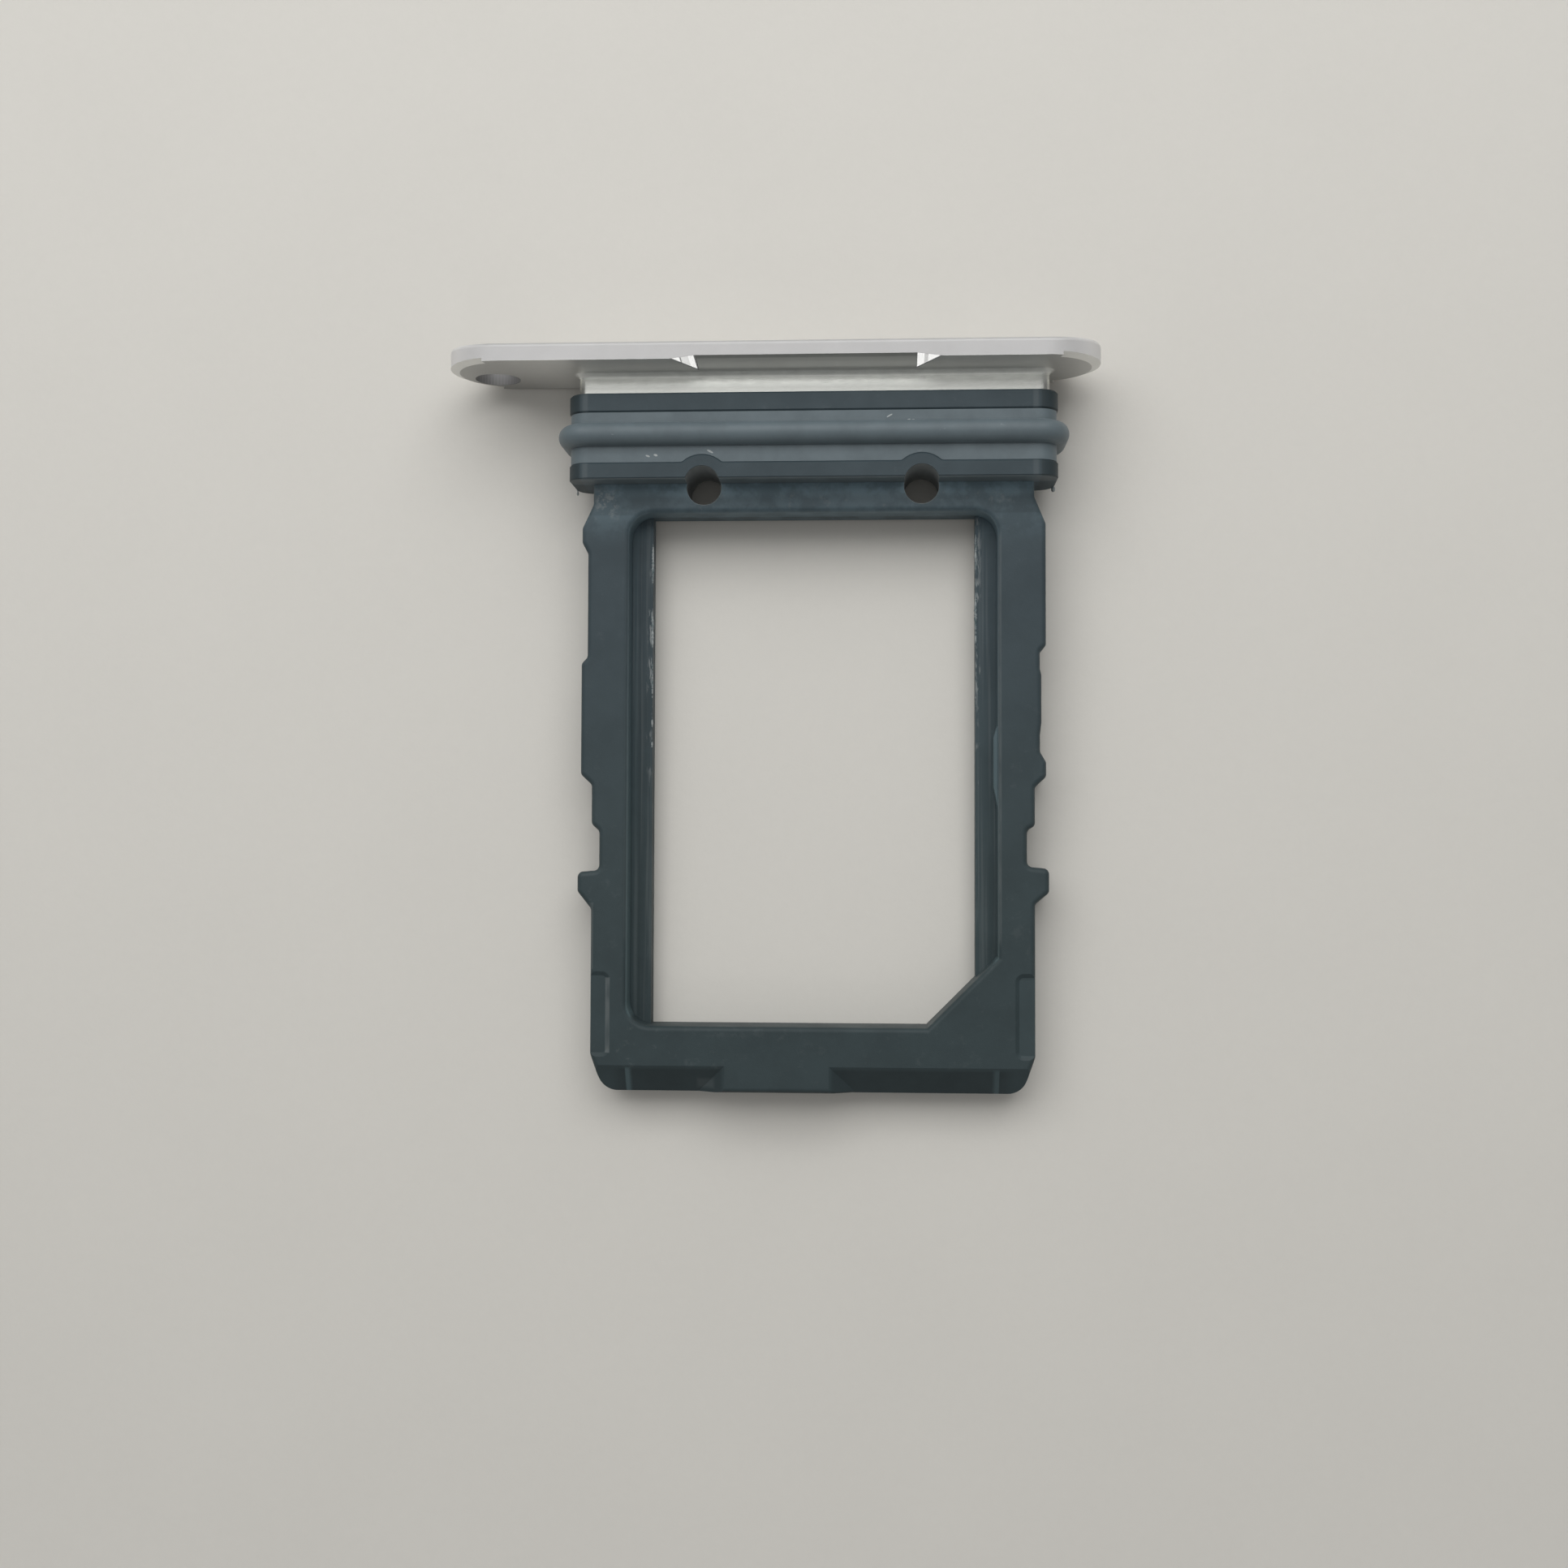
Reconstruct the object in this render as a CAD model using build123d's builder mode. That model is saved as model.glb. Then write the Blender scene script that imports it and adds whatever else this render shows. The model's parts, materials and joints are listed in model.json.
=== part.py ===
from build123d import *
from math import atan2, degrees
import os

os.makedirs("parts", exist_ok=True)

# Frame: X across the tray, +Y the way the tray is drawn out, Z up.
# The origin is on the tray's centreline, on the face plate's back face, at the collar's mid-height.

# The nano card that the tray carries, and the room it has in its pocket
card_width = 8.8
card_length = 12.3
card_thickness = 0.67
card_corner = 0.5
card_key = 1.65
card_clearance = 0.06
card_headroom = 0.08

# Tray frame: rails, ledges and end bars around the card
rail_width = 0.88
ledge_width = 0.51
ledge_thickness = 0.46
head_length = 0.7
tip_length = 1.58
edge_round = 0.13
outline_round = 0.14
under_chamfer = 0.05
pocket_edge_round = 0.12
ledge_round = 0.05

# Card grip on the plain side's pocket wall
grip_reach = 0.1
grip_from_pocket = 5.15
grip_lead = 0.3
grip_run = 1.2
grip_tail = 0.5

# Steps of the long sides, proud of the plain side or cut into it
pad_step = 0.27
flank_step = 0.125
shoe_step = 0.16
notch_depth = 0.19
lug_step = 0.335

# Runs and ramps down the long side next to the eject hole, from the collar towards the tip
eject_neck = 0.48
eject_bump_lead = 0.58
eject_bump = 0.35
eject_bump_tail = 0.28
eject_flank = 2.52
eject_pad_lead = 0.15
eject_pad = 2.7
eject_pad_tail = 0.25
eject_waist = 0.95
eject_notch_lead = 0.17
eject_notch = 0.95
eject_lug_lead = 0.04
eject_lug = 0.47
eject_lug_tail = 0.42

# Runs and ramps down the plain long side, from the collar towards the tip
plain_neck = 0.36
plain_pad_lead = 0.65
plain_pad = 2.95
plain_pad_tail = 0.15
plain_flank = 0.4
plain_shoe_lead = 0.15
plain_shoe = 1.15
plain_shoe_tail = 0.3
plain_gap = 0.4
plain_bump_lead = 0.25
plain_bump = 0.35
plain_bump_tail = 0.25
plain_waist = 0.93
plain_notch_lead = 0.1
plain_notch = 0.87
plain_lug_lead = 0.05
plain_lug = 0.57
plain_lug_tail = 0.28

# Tip of the tray: tapered corners, lead-in slopes and side reliefs
tip_taper = 0.9
tip_taper_inset = 0.32
tip_taper_round = 0.3
tip_corner = 0.45
lead_length = 0.64
lead_drop = 0.38
lead_rib_width = 2.5
lead_rib_flare = 0.66
lead_rib_shift = -0.83
under_lead_length = 0.35
under_lead_drop = 0.2
relief_width = 0.48
relief_length = 2.05
relief_depth = 0.06
relief_slope = 0.1
relief_corner = 0.2
relief_to_tip = 0.84

# Collar behind the face plate, with its seal groove
collar_overhang = 0.545
collar_step = 0.64
collar_drop = 0.05
collar_corner = 0.5
rear_flange = 0.465
groove_width = 1.21
groove_depth = 0.42
core_corner = 0.08
front_flange = 0.405
flange_chamfer = 0.04

# Mould pin holes through the front of the collar, with the flange swelling round each one
pin_spacing = 5.26
pin_radius = 0.42
pin_ahead = 0.105
pin_wall = 0.28
pin_blend = 0.1

# Seal ring
seal_sink = 0.03
rib_height = 0.3
rib_width = 0.56
rib_setback = 0.535

# Face plate
cap_rise = 0.585
cap_drop = 0.235
cap_overhang_eject = 2.98
cap_overhang_plain = 1.05
cap_rim = 0.42
cap_crown = 0.12
cap_front_round = 0.1
bevel_inset = 0.22
bevel_depth = 0.08
bevel_sweep = 150
eject_radius = 0.55
eject_from_end = 1.05
eject_below_mid = 0.42
scoop_shift = -0.12
scoop_floor = 5.27
scoop_end = 0.6
scoop_depth = 0.075
land_length = 0.66
land_thickness = 0.56
land_inset = 0.165
land_corner = 0.22
root_round = 0.14
tongue_length = 1.0
tongue_width = 9.4
tongue_thickness = 0.4

# Sizes that follow
pocket_width = card_width + 2 * card_clearance
pocket_length = card_length + 2 * card_clearance
pocket_depth = card_thickness + card_headroom
window_width = pocket_width - 2 * ledge_width
body_half = pocket_width / 2 + rail_width
frame_thickness = pocket_depth + ledge_thickness
collar_height = frame_thickness + collar_step + collar_drop
collar_width = 2 * (body_half + collar_overhang)
collar_top = collar_height / 2
frame_top = collar_top - collar_step
frame_bottom = frame_top - frame_thickness

# Depths behind the face plate's back face
groove_at = land_length + rear_flange
front_flange_at = groove_at + groove_width
collar_front = front_flange_at + front_flange
pocket_at = collar_front + head_length
tip_at = pocket_at + pocket_length + tip_length
pin_at = collar_front + pin_ahead
grip_at = pocket_at + grip_from_pocket

core_width = collar_width - 2 * groove_depth
core_height = collar_height - 2 * groove_depth
seal_width = collar_width - 2 * seal_sink
seal_height = collar_height - 2 * seal_sink
seal_corner = collar_corner - seal_sink

cap_top = collar_top + cap_rise
cap_bottom = -collar_top - cap_drop
cap_height = cap_top - cap_bottom
cap_mid = (cap_top + cap_bottom) / 2
cap_left = -collar_width / 2 - cap_overhang_eject
cap_right = collar_width / 2 + cap_overhang_plain
cap_end_radius = cap_height / 2
cap_thickness = cap_rim + cap_crown
land_width = collar_width - 2 * land_inset


def side_corners(side, stretches):
    """Corners of one long side from the collar to the tip; side is -1 or 1."""
    corners = []
    depth = collar_front
    for step, run, ramp in stretches:
        x = side * (body_half + step)
        corners.append((x, -depth))
        corners.append((x, -depth - run))
        depth += run + ramp
    corners.append((side * body_half, -depth))
    return corners


eject_stretches = [
    (0, eject_neck, eject_bump_lead),
    (pad_step, eject_bump, eject_bump_tail),
    (flank_step, eject_flank, eject_pad_lead),
    (pad_step, eject_pad, eject_pad_tail),
    (0, eject_waist, eject_notch_lead),
    (-notch_depth, eject_notch, eject_lug_lead),
    (lug_step, eject_lug, eject_lug_tail),
]
plain_stretches = [
    (0, plain_neck, plain_pad_lead),
    (pad_step, plain_pad, plain_pad_tail),
    (flank_step, plain_flank, plain_shoe_lead),
    (shoe_step, plain_shoe, plain_shoe_tail),
    (flank_step, plain_gap, plain_bump_lead),
    (pad_step, plain_bump, plain_bump_tail),
    (0, plain_waist, plain_notch_lead),
    (-notch_depth, plain_notch, plain_lug_lead),
    (lug_step, plain_lug, plain_lug_tail),
]

# Each side starts inside the collar, so that frame and collar are one moulding
eject_corners = side_corners(-1, eject_stretches)
plain_corners = side_corners(1, plain_stretches)
eject_corners[0] = (-body_half, -front_flange_at)
plain_corners[0] = (body_half, -front_flange_at)
tip_corners = [
    (-body_half, -tip_at + tip_taper),
    (-body_half + tip_taper_inset, -tip_at),
    (body_half - tip_taper_inset, -tip_at),
    (body_half, -tip_at + tip_taper),
]
outline = eject_corners + tip_corners + plain_corners[::-1]
outline_radii = (
    [0]
    + [outline_round] * (len(eject_corners) - 1)
    + [tip_taper_round, tip_corner, tip_corner, tip_taper_round]
    + [outline_round] * (len(plain_corners) - 1)
    + [0]
)

# The card's outline with its keyed corner, grown to the pocket
card_x = card_width / 2
card_head = -pocket_at - card_clearance
card_foot = card_head - card_length
with BuildSketch(Plane.XY.offset(frame_top)) as pocket:
    with BuildLine():
        FilletPolyline(
            (-card_x, card_head),
            (-card_x, card_foot),
            (card_x - card_key, card_foot),
            (card_x, card_foot + card_key),
            (card_x, card_head),
            radius=[card_corner, card_corner, 0, 0, card_corner],
            close=True,
        )
    make_face()
    offset(amount=card_clearance, kind=Kind.INTERSECTION)

with BuildSketch(Plane.XY.offset(frame_top)) as window:
    add(pocket.sketch)
    with Locations((0, -pocket_at)):
        Rectangle(window_width, pocket_length, align=(Align.CENTER, Align.MAX), mode=Mode.INTERSECT)

# Plan of the front flange, which swells back into the groove round each mould pin hole
with BuildSketch(Plane.XY.offset(-collar_top)) as flange_plan:
    with Locations((-pin_spacing / 2, -pin_at), (pin_spacing / 2, -pin_at)):
        Circle(pin_radius + pin_wall)
    with Locations((0, -front_flange_at)):
        Rectangle(collar_width, front_flange, align=(Align.CENTER, Align.MAX))
    with Locations((0, -collar_front)):
        Rectangle(collar_width, collar_front, align=(Align.CENTER, Align.MIN), mode=Mode.INTERSECT)
    junctions = flange_plan.vertices().group_by(Axis.Y)[-1].sort_by(Axis.X)[1:-1]
    fillet(junctions, pin_blend)


# Collar: two softened flanges with the seal's core between them
with BuildPart() as collar:
    with BuildSketch(Plane.XZ.offset(groove_at)):
        RectangleRounded(collar_width, collar_height, collar_corner)
    extrude(amount=collar_front - groove_at)
    extrude(flange_plan.sketch, amount=collar_height, mode=Mode.INTERSECT)
    with BuildSketch(Plane.XZ.offset(land_length)):
        RectangleRounded(collar_width, collar_height, collar_corner)
    extrude(amount=rear_flange)

    # The chamfer runs on from these end edges round each flange
    end_edges = collar.edges().filter_by(Axis.Z).group_by(Axis.X)[-1]
    chamfer(end_edges, flange_chamfer)
    with BuildSketch(Plane.XZ.offset(groove_at)):
        RectangleRounded(core_width, core_height, core_corner)
    extrude(amount=groove_width)


# Slopes above and below the tip; a flared rib stays at full height in the middle of the upper one
with BuildPart() as lead_in:
    with BuildSketch(Plane.YZ):
        with BuildLine():
            Polyline(
                (-tip_at + lead_length, frame_top),
                (-tip_at - lead_length, frame_top - 2 * lead_drop),
                (-tip_at - lead_length, frame_top),
                close=True,
            )
        make_face()
    extrude(amount=collar_width / 2, both=True)
    with BuildSketch(Plane.XZ.offset(tip_at - lead_length)):
        with BuildLine():
            rib_left = lead_rib_shift - lead_rib_width / 2
            rib_right = lead_rib_shift + lead_rib_width / 2
            Polyline(
                (rib_left, frame_top),
                (rib_right, frame_top),
                (rib_right + 2 * lead_rib_flare, frame_top - 2 * lead_drop),
                (rib_left - 2 * lead_rib_flare, frame_top - 2 * lead_drop),
                close=True,
            )
        make_face()
    extrude(amount=2 * lead_length, mode=Mode.SUBTRACT)
    with BuildSketch(Plane.YZ):
        with BuildLine():
            Polyline(
                (-tip_at + under_lead_length, frame_bottom),
                (-tip_at - under_lead_length, frame_bottom + 2 * under_lead_drop),
                (-tip_at - under_lead_length, frame_bottom),
                close=True,
            )
        make_face()
    extrude(amount=collar_width / 2, both=True)


with BuildPart() as tray_frame:
    # Frame body with rounded upper edges and chamfered lower ones
    with BuildSketch(Plane.XY.offset(frame_bottom)):
        with BuildLine():
            FilletPolyline(outline, radius=outline_radii, close=True)
        make_face()
    extrude(amount=frame_thickness)
    upper_edges = tray_frame.faces().sort_by(Axis.Z)[-1].edges().sort_by(Axis.Y)[:-1]
    fillet(upper_edges, edge_round)
    lower_edges = tray_frame.faces().sort_by(Axis.Z)[0].edges().sort_by(Axis.Y)[:-1]
    chamfer(lower_edges, under_chamfer)

    # Lead-in slopes of the tip
    add(lead_in.part, mode=Mode.SUBTRACT)

    # Card pocket with a softened rim, and the window between its two ledges
    extrude(pocket.sketch, amount=-pocket_depth, mode=Mode.SUBTRACT)
    rim_edges = tray_frame.faces().sort_by(Axis.Z)[-1].inner_wires()[0].edges()
    fillet(rim_edges, pocket_edge_round)
    extrude(window.sketch, amount=-frame_thickness, mode=Mode.SUBTRACT)
    window_edges = tray_frame.edges().filter_by(Axis.Y).group_by(lambda edge: abs(edge.center().X))[0]
    fillet(window_edges.group_by(Axis.Z)[-1], ledge_round)

    # Grip that presses on the card's edge
    with BuildSketch(Plane.XY.offset(frame_bottom)):
        with BuildLine():
            Polyline(
                (pocket_width / 2 + grip_reach, -grip_at),
                (pocket_width / 2, -grip_at),
                (pocket_width / 2 - grip_reach, -grip_at - grip_lead),
                (pocket_width / 2 - grip_reach, -grip_at - grip_lead - grip_run),
                (pocket_width / 2, -grip_at - grip_lead - grip_run - grip_tail),
                (pocket_width / 2 + grip_reach, -grip_at - grip_lead - grip_run - grip_tail),
                close=True,
            )
        make_face()
    extrude(amount=frame_thickness - pocket_edge_round)

    # Shallow reliefs with sloping sides along both sides of the tip
    with BuildSketch(Plane.XY.offset(frame_top)):
        with Locations((-body_half, -tip_at + relief_to_tip), (body_half, -tip_at + relief_to_tip)):
            RectangleRounded(
                2 * relief_width, relief_length, relief_corner, align=(Align.CENTER, Align.MIN)
            )
    relief_taper = degrees(atan2(relief_slope, relief_depth))
    extrude(amount=-relief_depth, taper=relief_taper, mode=Mode.SUBTRACT)

    # Collar, with the mould pin holes where it meets the frame
    add(collar.part)
    with BuildSketch(Plane.XY.offset(-collar_top)):
        with Locations((-pin_spacing / 2, -pin_at), (pin_spacing / 2, -pin_at)):
            Circle(pin_radius)
    extrude(amount=collar_height, mode=Mode.SUBTRACT)

    # Seat of the face plate's tongue
    with BuildSketch(Plane.XZ.offset(land_length)):
        Rectangle(tongue_width, tongue_thickness)
    extrude(amount=tongue_length, mode=Mode.SUBTRACT)

tray_frame.part.label = "tray_frame"
export_step(tray_frame.part, "parts/tray_frame.step")


with BuildPart() as seal_ring:
    # Flat ring that fills the groove
    with BuildSketch(Plane.XZ.offset(groove_at)):
        RectangleRounded(seal_width, seal_height, seal_corner)
        RectangleRounded(core_width, core_height, core_corner, mode=Mode.SUBTRACT)
    extrude(amount=groove_width)

    # Half of the sealing rib, swept round one end and mirrored to the other
    rib_at = groove_at + rib_setback
    with BuildLine(Plane.XZ.offset(rib_at)) as rib_path:
        top_run = Line((0, seal_height / 2), (seal_width / 2 - seal_corner, seal_height / 2))
        top_bend = JernArc(top_run @ 1, top_run % 1, seal_corner, -90)
        end_run = Line(top_bend @ 1, (seal_width / 2, -seal_height / 2 + seal_corner))
        low_bend = JernArc(end_run @ 1, end_run % 1, seal_corner, -90)
        Line(low_bend @ 1, (0, -seal_height / 2))
    with BuildSketch(Plane.YZ) as rib_section:
        with BuildLine():
            foot = seal_height / 2 - seal_sink
            rise = Line((-rib_at - rib_width / 2, foot), (-rib_at - rib_width / 2, seal_height / 2))
            crown = ThreePointArc(
                rise @ 1,
                (-rib_at, seal_height / 2 + rib_height),
                (-rib_at + rib_width / 2, seal_height / 2),
            )
            Polyline(crown @ 1, (-rib_at + rib_width / 2, foot), rise @ 0)
        make_face()
    sweep(path=rib_path.line)
    mirror(about=Plane.YZ)

    # Room for the front flange where it swells into the groove
    extrude(flange_plan.sketch, amount=collar_height, mode=Mode.SUBTRACT)

seal_ring.part.label = "seal_ring"
export_step(seal_ring.part, "parts/seal_ring.step")


with BuildPart() as face_plate:
    # Stadium plate with a crowned front
    with BuildSketch(Plane.XZ):
        with Locations(((cap_left + cap_right) / 2, cap_mid)):
            SlotOverall(cap_right - cap_left, cap_height)
    extrude(amount=-cap_thickness)
    with BuildSketch(Plane.YZ):
        with BuildLine():
            crown_arc = ThreePointArc(
                (cap_rim, cap_bottom), (cap_thickness, cap_mid), (cap_rim, cap_top)
            )
            Polyline(
                crown_arc @ 1,
                (2 * cap_thickness, cap_top),
                (2 * cap_thickness, cap_bottom),
                crown_arc @ 0,
            )
        make_face()
    extrude(amount=cap_right - cap_left, both=True, mode=Mode.SUBTRACT)
    front_edges = face_plate.faces().sort_by(Axis.Y)[-1].edges()
    fillet(front_edges, cap_front_round)

    # Land that carries the collar, with a rounded root
    with BuildSketch(Plane.XZ):
        RectangleRounded(land_width, land_thickness, land_corner)
    extrude(amount=land_length)
    back_face = face_plate.faces().filter_by(Plane.XZ).sort_by(SortBy.AREA)[-1]
    fillet(back_face.inner_wires()[0].edges(), root_round)

    # Anchor tongue that the collar is moulded around
    with BuildSketch(Plane.XZ.offset(land_length)):
        Rectangle(tongue_width, tongue_thickness)
    extrude(amount=tongue_length)

    # Scoop up the back of the plate, running out above the land
    scoop_foot = land_thickness / 2 + root_round
    scoop_plane = Plane(
        origin=(scoop_shift, 0, scoop_foot),
        x_dir=(1, 0, 0),
        z_dir=(0, scoop_depth, cap_top - scoop_foot),
    )
    with BuildSketch(scoop_plane):
        with BuildLine():
            Polyline(
                (-scoop_floor / 2, 0),
                (scoop_floor / 2, 0),
                (scoop_floor / 2 + 2 * scoop_end, -2 * scoop_depth),
                (-scoop_floor / 2 - 2 * scoop_end, -2 * scoop_depth),
                close=True,
            )
        make_face()
    extrude(amount=cap_height, mode=Mode.SUBTRACT)

    # Bevels on the back edge of both rounded ends
    for side, end_x in ((-1, cap_left + cap_end_radius), (1, cap_right - cap_end_radius)):
        bevel_plane = Plane(origin=(end_x, 0, cap_mid), x_dir=(side, 0, 0), z_dir=(0, 0, side))
        with BuildSketch(bevel_plane.rotated((0, -bevel_sweep / 2, 0))):
            with BuildLine():
                Polyline(
                    (cap_end_radius - bevel_inset, 0),
                    (cap_end_radius + bevel_inset, 2 * bevel_depth),
                    (cap_end_radius + bevel_inset, -bevel_depth),
                    (cap_end_radius - bevel_inset, -bevel_depth),
                    close=True,
                )
            make_face()
        revolve(axis=Axis((end_x, 0, cap_mid), (0, 1, 0)), revolution_arc=bevel_sweep, mode=Mode.SUBTRACT)

    # Eject hole
    with BuildSketch(Plane.XZ):
        with Locations((cap_left + eject_from_end, cap_mid - eject_below_mid)):
            Circle(eject_radius)
    extrude(amount=-cap_thickness, mode=Mode.SUBTRACT)

face_plate.part.label = "face_plate"
export_step(face_plate.part, "parts/face_plate.step")
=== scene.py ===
"""Looks of a sealed card tray: metal face plate, charcoal moulding and silicone seal."""

import json

import bpy
from bpy.props import FloatProperty, FloatVectorProperty, IntProperty, PointerProperty
from bpy.types import Operator, Panel, PropertyGroup
from mathutils import Euler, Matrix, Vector


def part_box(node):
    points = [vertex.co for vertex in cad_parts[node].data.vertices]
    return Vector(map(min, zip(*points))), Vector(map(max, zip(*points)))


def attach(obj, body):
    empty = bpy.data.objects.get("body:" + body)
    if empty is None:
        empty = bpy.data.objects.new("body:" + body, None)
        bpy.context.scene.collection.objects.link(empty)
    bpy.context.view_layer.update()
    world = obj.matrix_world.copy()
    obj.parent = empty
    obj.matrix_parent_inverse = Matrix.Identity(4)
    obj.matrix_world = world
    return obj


bl_info = {
    "name": "Card Tray Looks",
    "version": (1, 0, 0),
    "blender": (4, 5, 0),
    "location": "3D View > Sidebar > Card Tray",
    "description": "Finishes, moulding burrs and studio stage for a sealed card tray",
    "category": "Object",
}

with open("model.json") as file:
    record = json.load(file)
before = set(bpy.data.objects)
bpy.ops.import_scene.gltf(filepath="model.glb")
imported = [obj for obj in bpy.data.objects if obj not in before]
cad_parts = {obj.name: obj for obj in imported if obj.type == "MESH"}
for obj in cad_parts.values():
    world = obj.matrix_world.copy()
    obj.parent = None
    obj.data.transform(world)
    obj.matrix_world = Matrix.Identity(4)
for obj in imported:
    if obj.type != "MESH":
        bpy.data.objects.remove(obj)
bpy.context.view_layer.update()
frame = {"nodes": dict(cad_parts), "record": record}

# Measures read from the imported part, in metres
MM = 0.001
RECORD = frame["record"]
MOUNTS = {mount["name"]: mount for mount in RECORD["mounts"]}
PLATE_LOW, PLATE_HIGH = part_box("face_plate")
TRAY_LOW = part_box("tray_frame")[0]
SEAL_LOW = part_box("seal_ring")[0]
LEDGE_TOP = MOUNTS["card_seat"]["pos_m"][2]
WINDOW_HEAD = RECORD["physics"]["openings"][0]["box_m"][1][1]

# Places on the part that the finishes follow, in millimetres
COLLAR_FACE = -2.74
COLLAR_TOP = 0.95
PIN_X = 2.63
PIN_Y = -2.845
PIN_RADIUS = 0.42
SCOOP_MIDDLE = -0.12
SCOOP_FLOOR_HALF = 2.62
EJECT_RADIUS = 0.55

VECTOR = "NodeSocketVector"
FLOAT = "NodeSocketFloat"
INTEGER = "NodeSocketInt"
GEOMETRY = "NodeSocketGeometry"
MATERIAL = "NodeSocketMaterial"


def colour_property(label, words, default):
    """Colour setting, in linear light."""
    return FloatVectorProperty(
        name=label, description=words, subtype="COLOR", min=0, max=1, default=default
    )


def length_property(label, words, default):
    """Length setting, in metres."""
    return FloatProperty(name=label, description=words, subtype="DISTANCE", unit="LENGTH", default=default)


def place_property(label, words, default):
    """Place setting, in metres."""
    return FloatVectorProperty(
        name=label, description=words, subtype="TRANSLATION", unit="LENGTH", default=default
    )


def number_property(label, words, default):
    """Plain number."""
    return FloatProperty(name=label, description=words, default=default)


class TrayColours(PropertyGroup):
    """Colours of the tray's finishes"""

    moulding: colour_property("Moulding", "Charcoal plastic at the frame's tip", (0.0422, 0.0632, 0.0682))
    moulding_cool: colour_property("Cool moulding", "Plastic by the collar", (0.0438, 0.0638, 0.0742))
    # Pale plastic of real rubs and tears, also used for painted light and painted highlights on the
    # moulding
    moulding_worn_and_lit: colour_property("Worn moulding", "Rubbed and torn plastic", (0.27, 0.29, 0.29))
    silicone: colour_property("Silicone", "Slate grey of the seal", (0.104, 0.136, 0.151))
    lint: colour_property("Lint", "Pale flecks that lie on the seal", (0.42, 0.45, 0.45))
    anodised: colour_property("Anodised", "Satin coat of the face plate", (0.505, 0.5, 0.496))
    bare_metal: colour_property("Bare metal", "Machined back, land, scoop and bevels", (0.93, 0.93, 0.91))
    peened_metal: colour_property("Peened metal", "Mottled land by the collar", (0.93, 0.945, 0.89))
    floor: colour_property("Floor", "Table under the tray", (0.68, 0.66, 0.612))
    sky: colour_property("Sky", "Soft light from all round", (1.0, 1.0, 1.0))


class TraySizes(PropertyGroup):
    """Sizes of the fine detail"""

    ledge_edge: length_property("Ledge edge", "Half the gap between the two card ledges", 3.95 * MM)
    burr_reach: length_property("Burr reach", "Largest half-width of a torn edge", 0.11 * MM)
    burr_spacing: length_property("Burr spacing", "Distance between points along a torn edge", 0.03 * MM)
    flash_reach: length_property("Flash reach", "Largest half-width of the collar's flash", 0.12 * MM)
    fleck_length: length_property("Fleck length", "Length of a pale fleck on the seal", 0.13 * MM)
    seed: IntProperty(name="Seed", description="Seed of the burrs and flecks", default=7)


class StageSettings(PropertyGroup):
    """Camera, light and floor"""

    eye: place_property("Eye", "Where the camera stands", (1.8095 * MM, -11.635 * MM, 44.8625 * MM))
    turn: FloatVectorProperty(
        name="Turn",
        description="Camera tilt about X, Y and Z",
        subtype="EULER",
        unit="ROTATION",
        default=(0.036, 0.0555, 0.001),
    )
    lens: number_property("Lens", "Focal length on a 36 mm sensor, in mm", 42.62)
    key_place: place_property("Key lamp", "Where the large soft lamp stands", (-11 * MM, 61 * MM, 98 * MM))
    key_width: length_property("Key width", "Width of the large soft lamp", 200 * MM)
    key_depth: length_property("Key depth", "Depth of the large soft lamp", 92 * MM)
    key_power: number_property("Key power", "Power of the large soft lamp in watts", 0.113)
    low_place: place_property("Low lamp", "Where the lower soft lamp stands", (-11 * MM, 120 * MM, 85 * MM))
    low_width: length_property("Low width", "Width of the lower soft lamp", 200 * MM)
    low_depth: length_property("Low depth", "Depth of the lower soft lamp", 60 * MM)
    low_power: number_property("Low power", "Power of the lower soft lamp in watts", 0.04)
    fill_place: place_property("Fill lamp", "Where the small fill lamp stands", (0, -105 * MM, 100 * MM))
    fill_width: length_property("Fill width", "Width of the small fill lamp", 20 * MM)
    fill_power: number_property("Fill power", "Power of the small fill lamp in watts", 0.004)
    sky_top: number_property("Sky top", "Strength of the light from straight above", 0.56)
    sky_edge: number_property("Sky edge", "Strength of the light from the sides", 0.28)
    sky_focus: number_property("Sky focus", "How closely the light gathers straight above", 12.0)
    floor_width: length_property("Floor width", "Width of the floor", 4.0)


def rgba(colour, level=1.0):
    """Linear colour with full opacity, lightened or darkened by level."""
    return (*(channel * level for channel in colour), 1.0)


def add(tree, kind, inputs=None, **settings):
    """Add a node; inputs maps a socket's name or index to a value or to another node's output."""
    made = tree.nodes.new(kind)
    for name, value in settings.items():
        setattr(made, name, value)
    for key, value in (inputs or {}).items():
        if isinstance(value, bpy.types.NodeSocket):
            tree.links.new(value, made.inputs[key])
        else:
            made.inputs[key].default_value = value
    return made


def maths(tree, operation, *values):
    """Output of a Math node."""
    return add(tree, "ShaderNodeMath", dict(enumerate(values)), operation=operation).outputs[0]


def blend(tree, factor, first, second):
    """Colour that goes from first to second with factor."""
    inputs = {0: factor, 6: first, 7: second}
    return add(tree, "ShaderNodeMix", inputs, data_type="RGBA").outputs[2]


def between(tree, factor, first, second):
    """Value that goes from first to second with factor."""
    return add(tree, "ShaderNodeMix", {0: factor, 2: first, 3: second}, data_type="FLOAT").outputs[0]


def smooth_step(tree, value, start, end):
    """Mask that rises from 0 at start to 1 at end."""
    inputs = {0: value, 1: start, 2: end, 3: 0.0, 4: 1.0}
    return add(tree, "ShaderNodeMapRange", inputs, interpolation_type="SMOOTHSTEP").outputs[0]


def band(tree, value, start, end, soft):
    """Mask that is 1 from start to end."""
    rise = smooth_step(tree, value, start - soft, start + soft)
    fall = smooth_step(tree, value, end + soft, end - soft)
    return maths(tree, "MULTIPLY", rise, fall)


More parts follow.
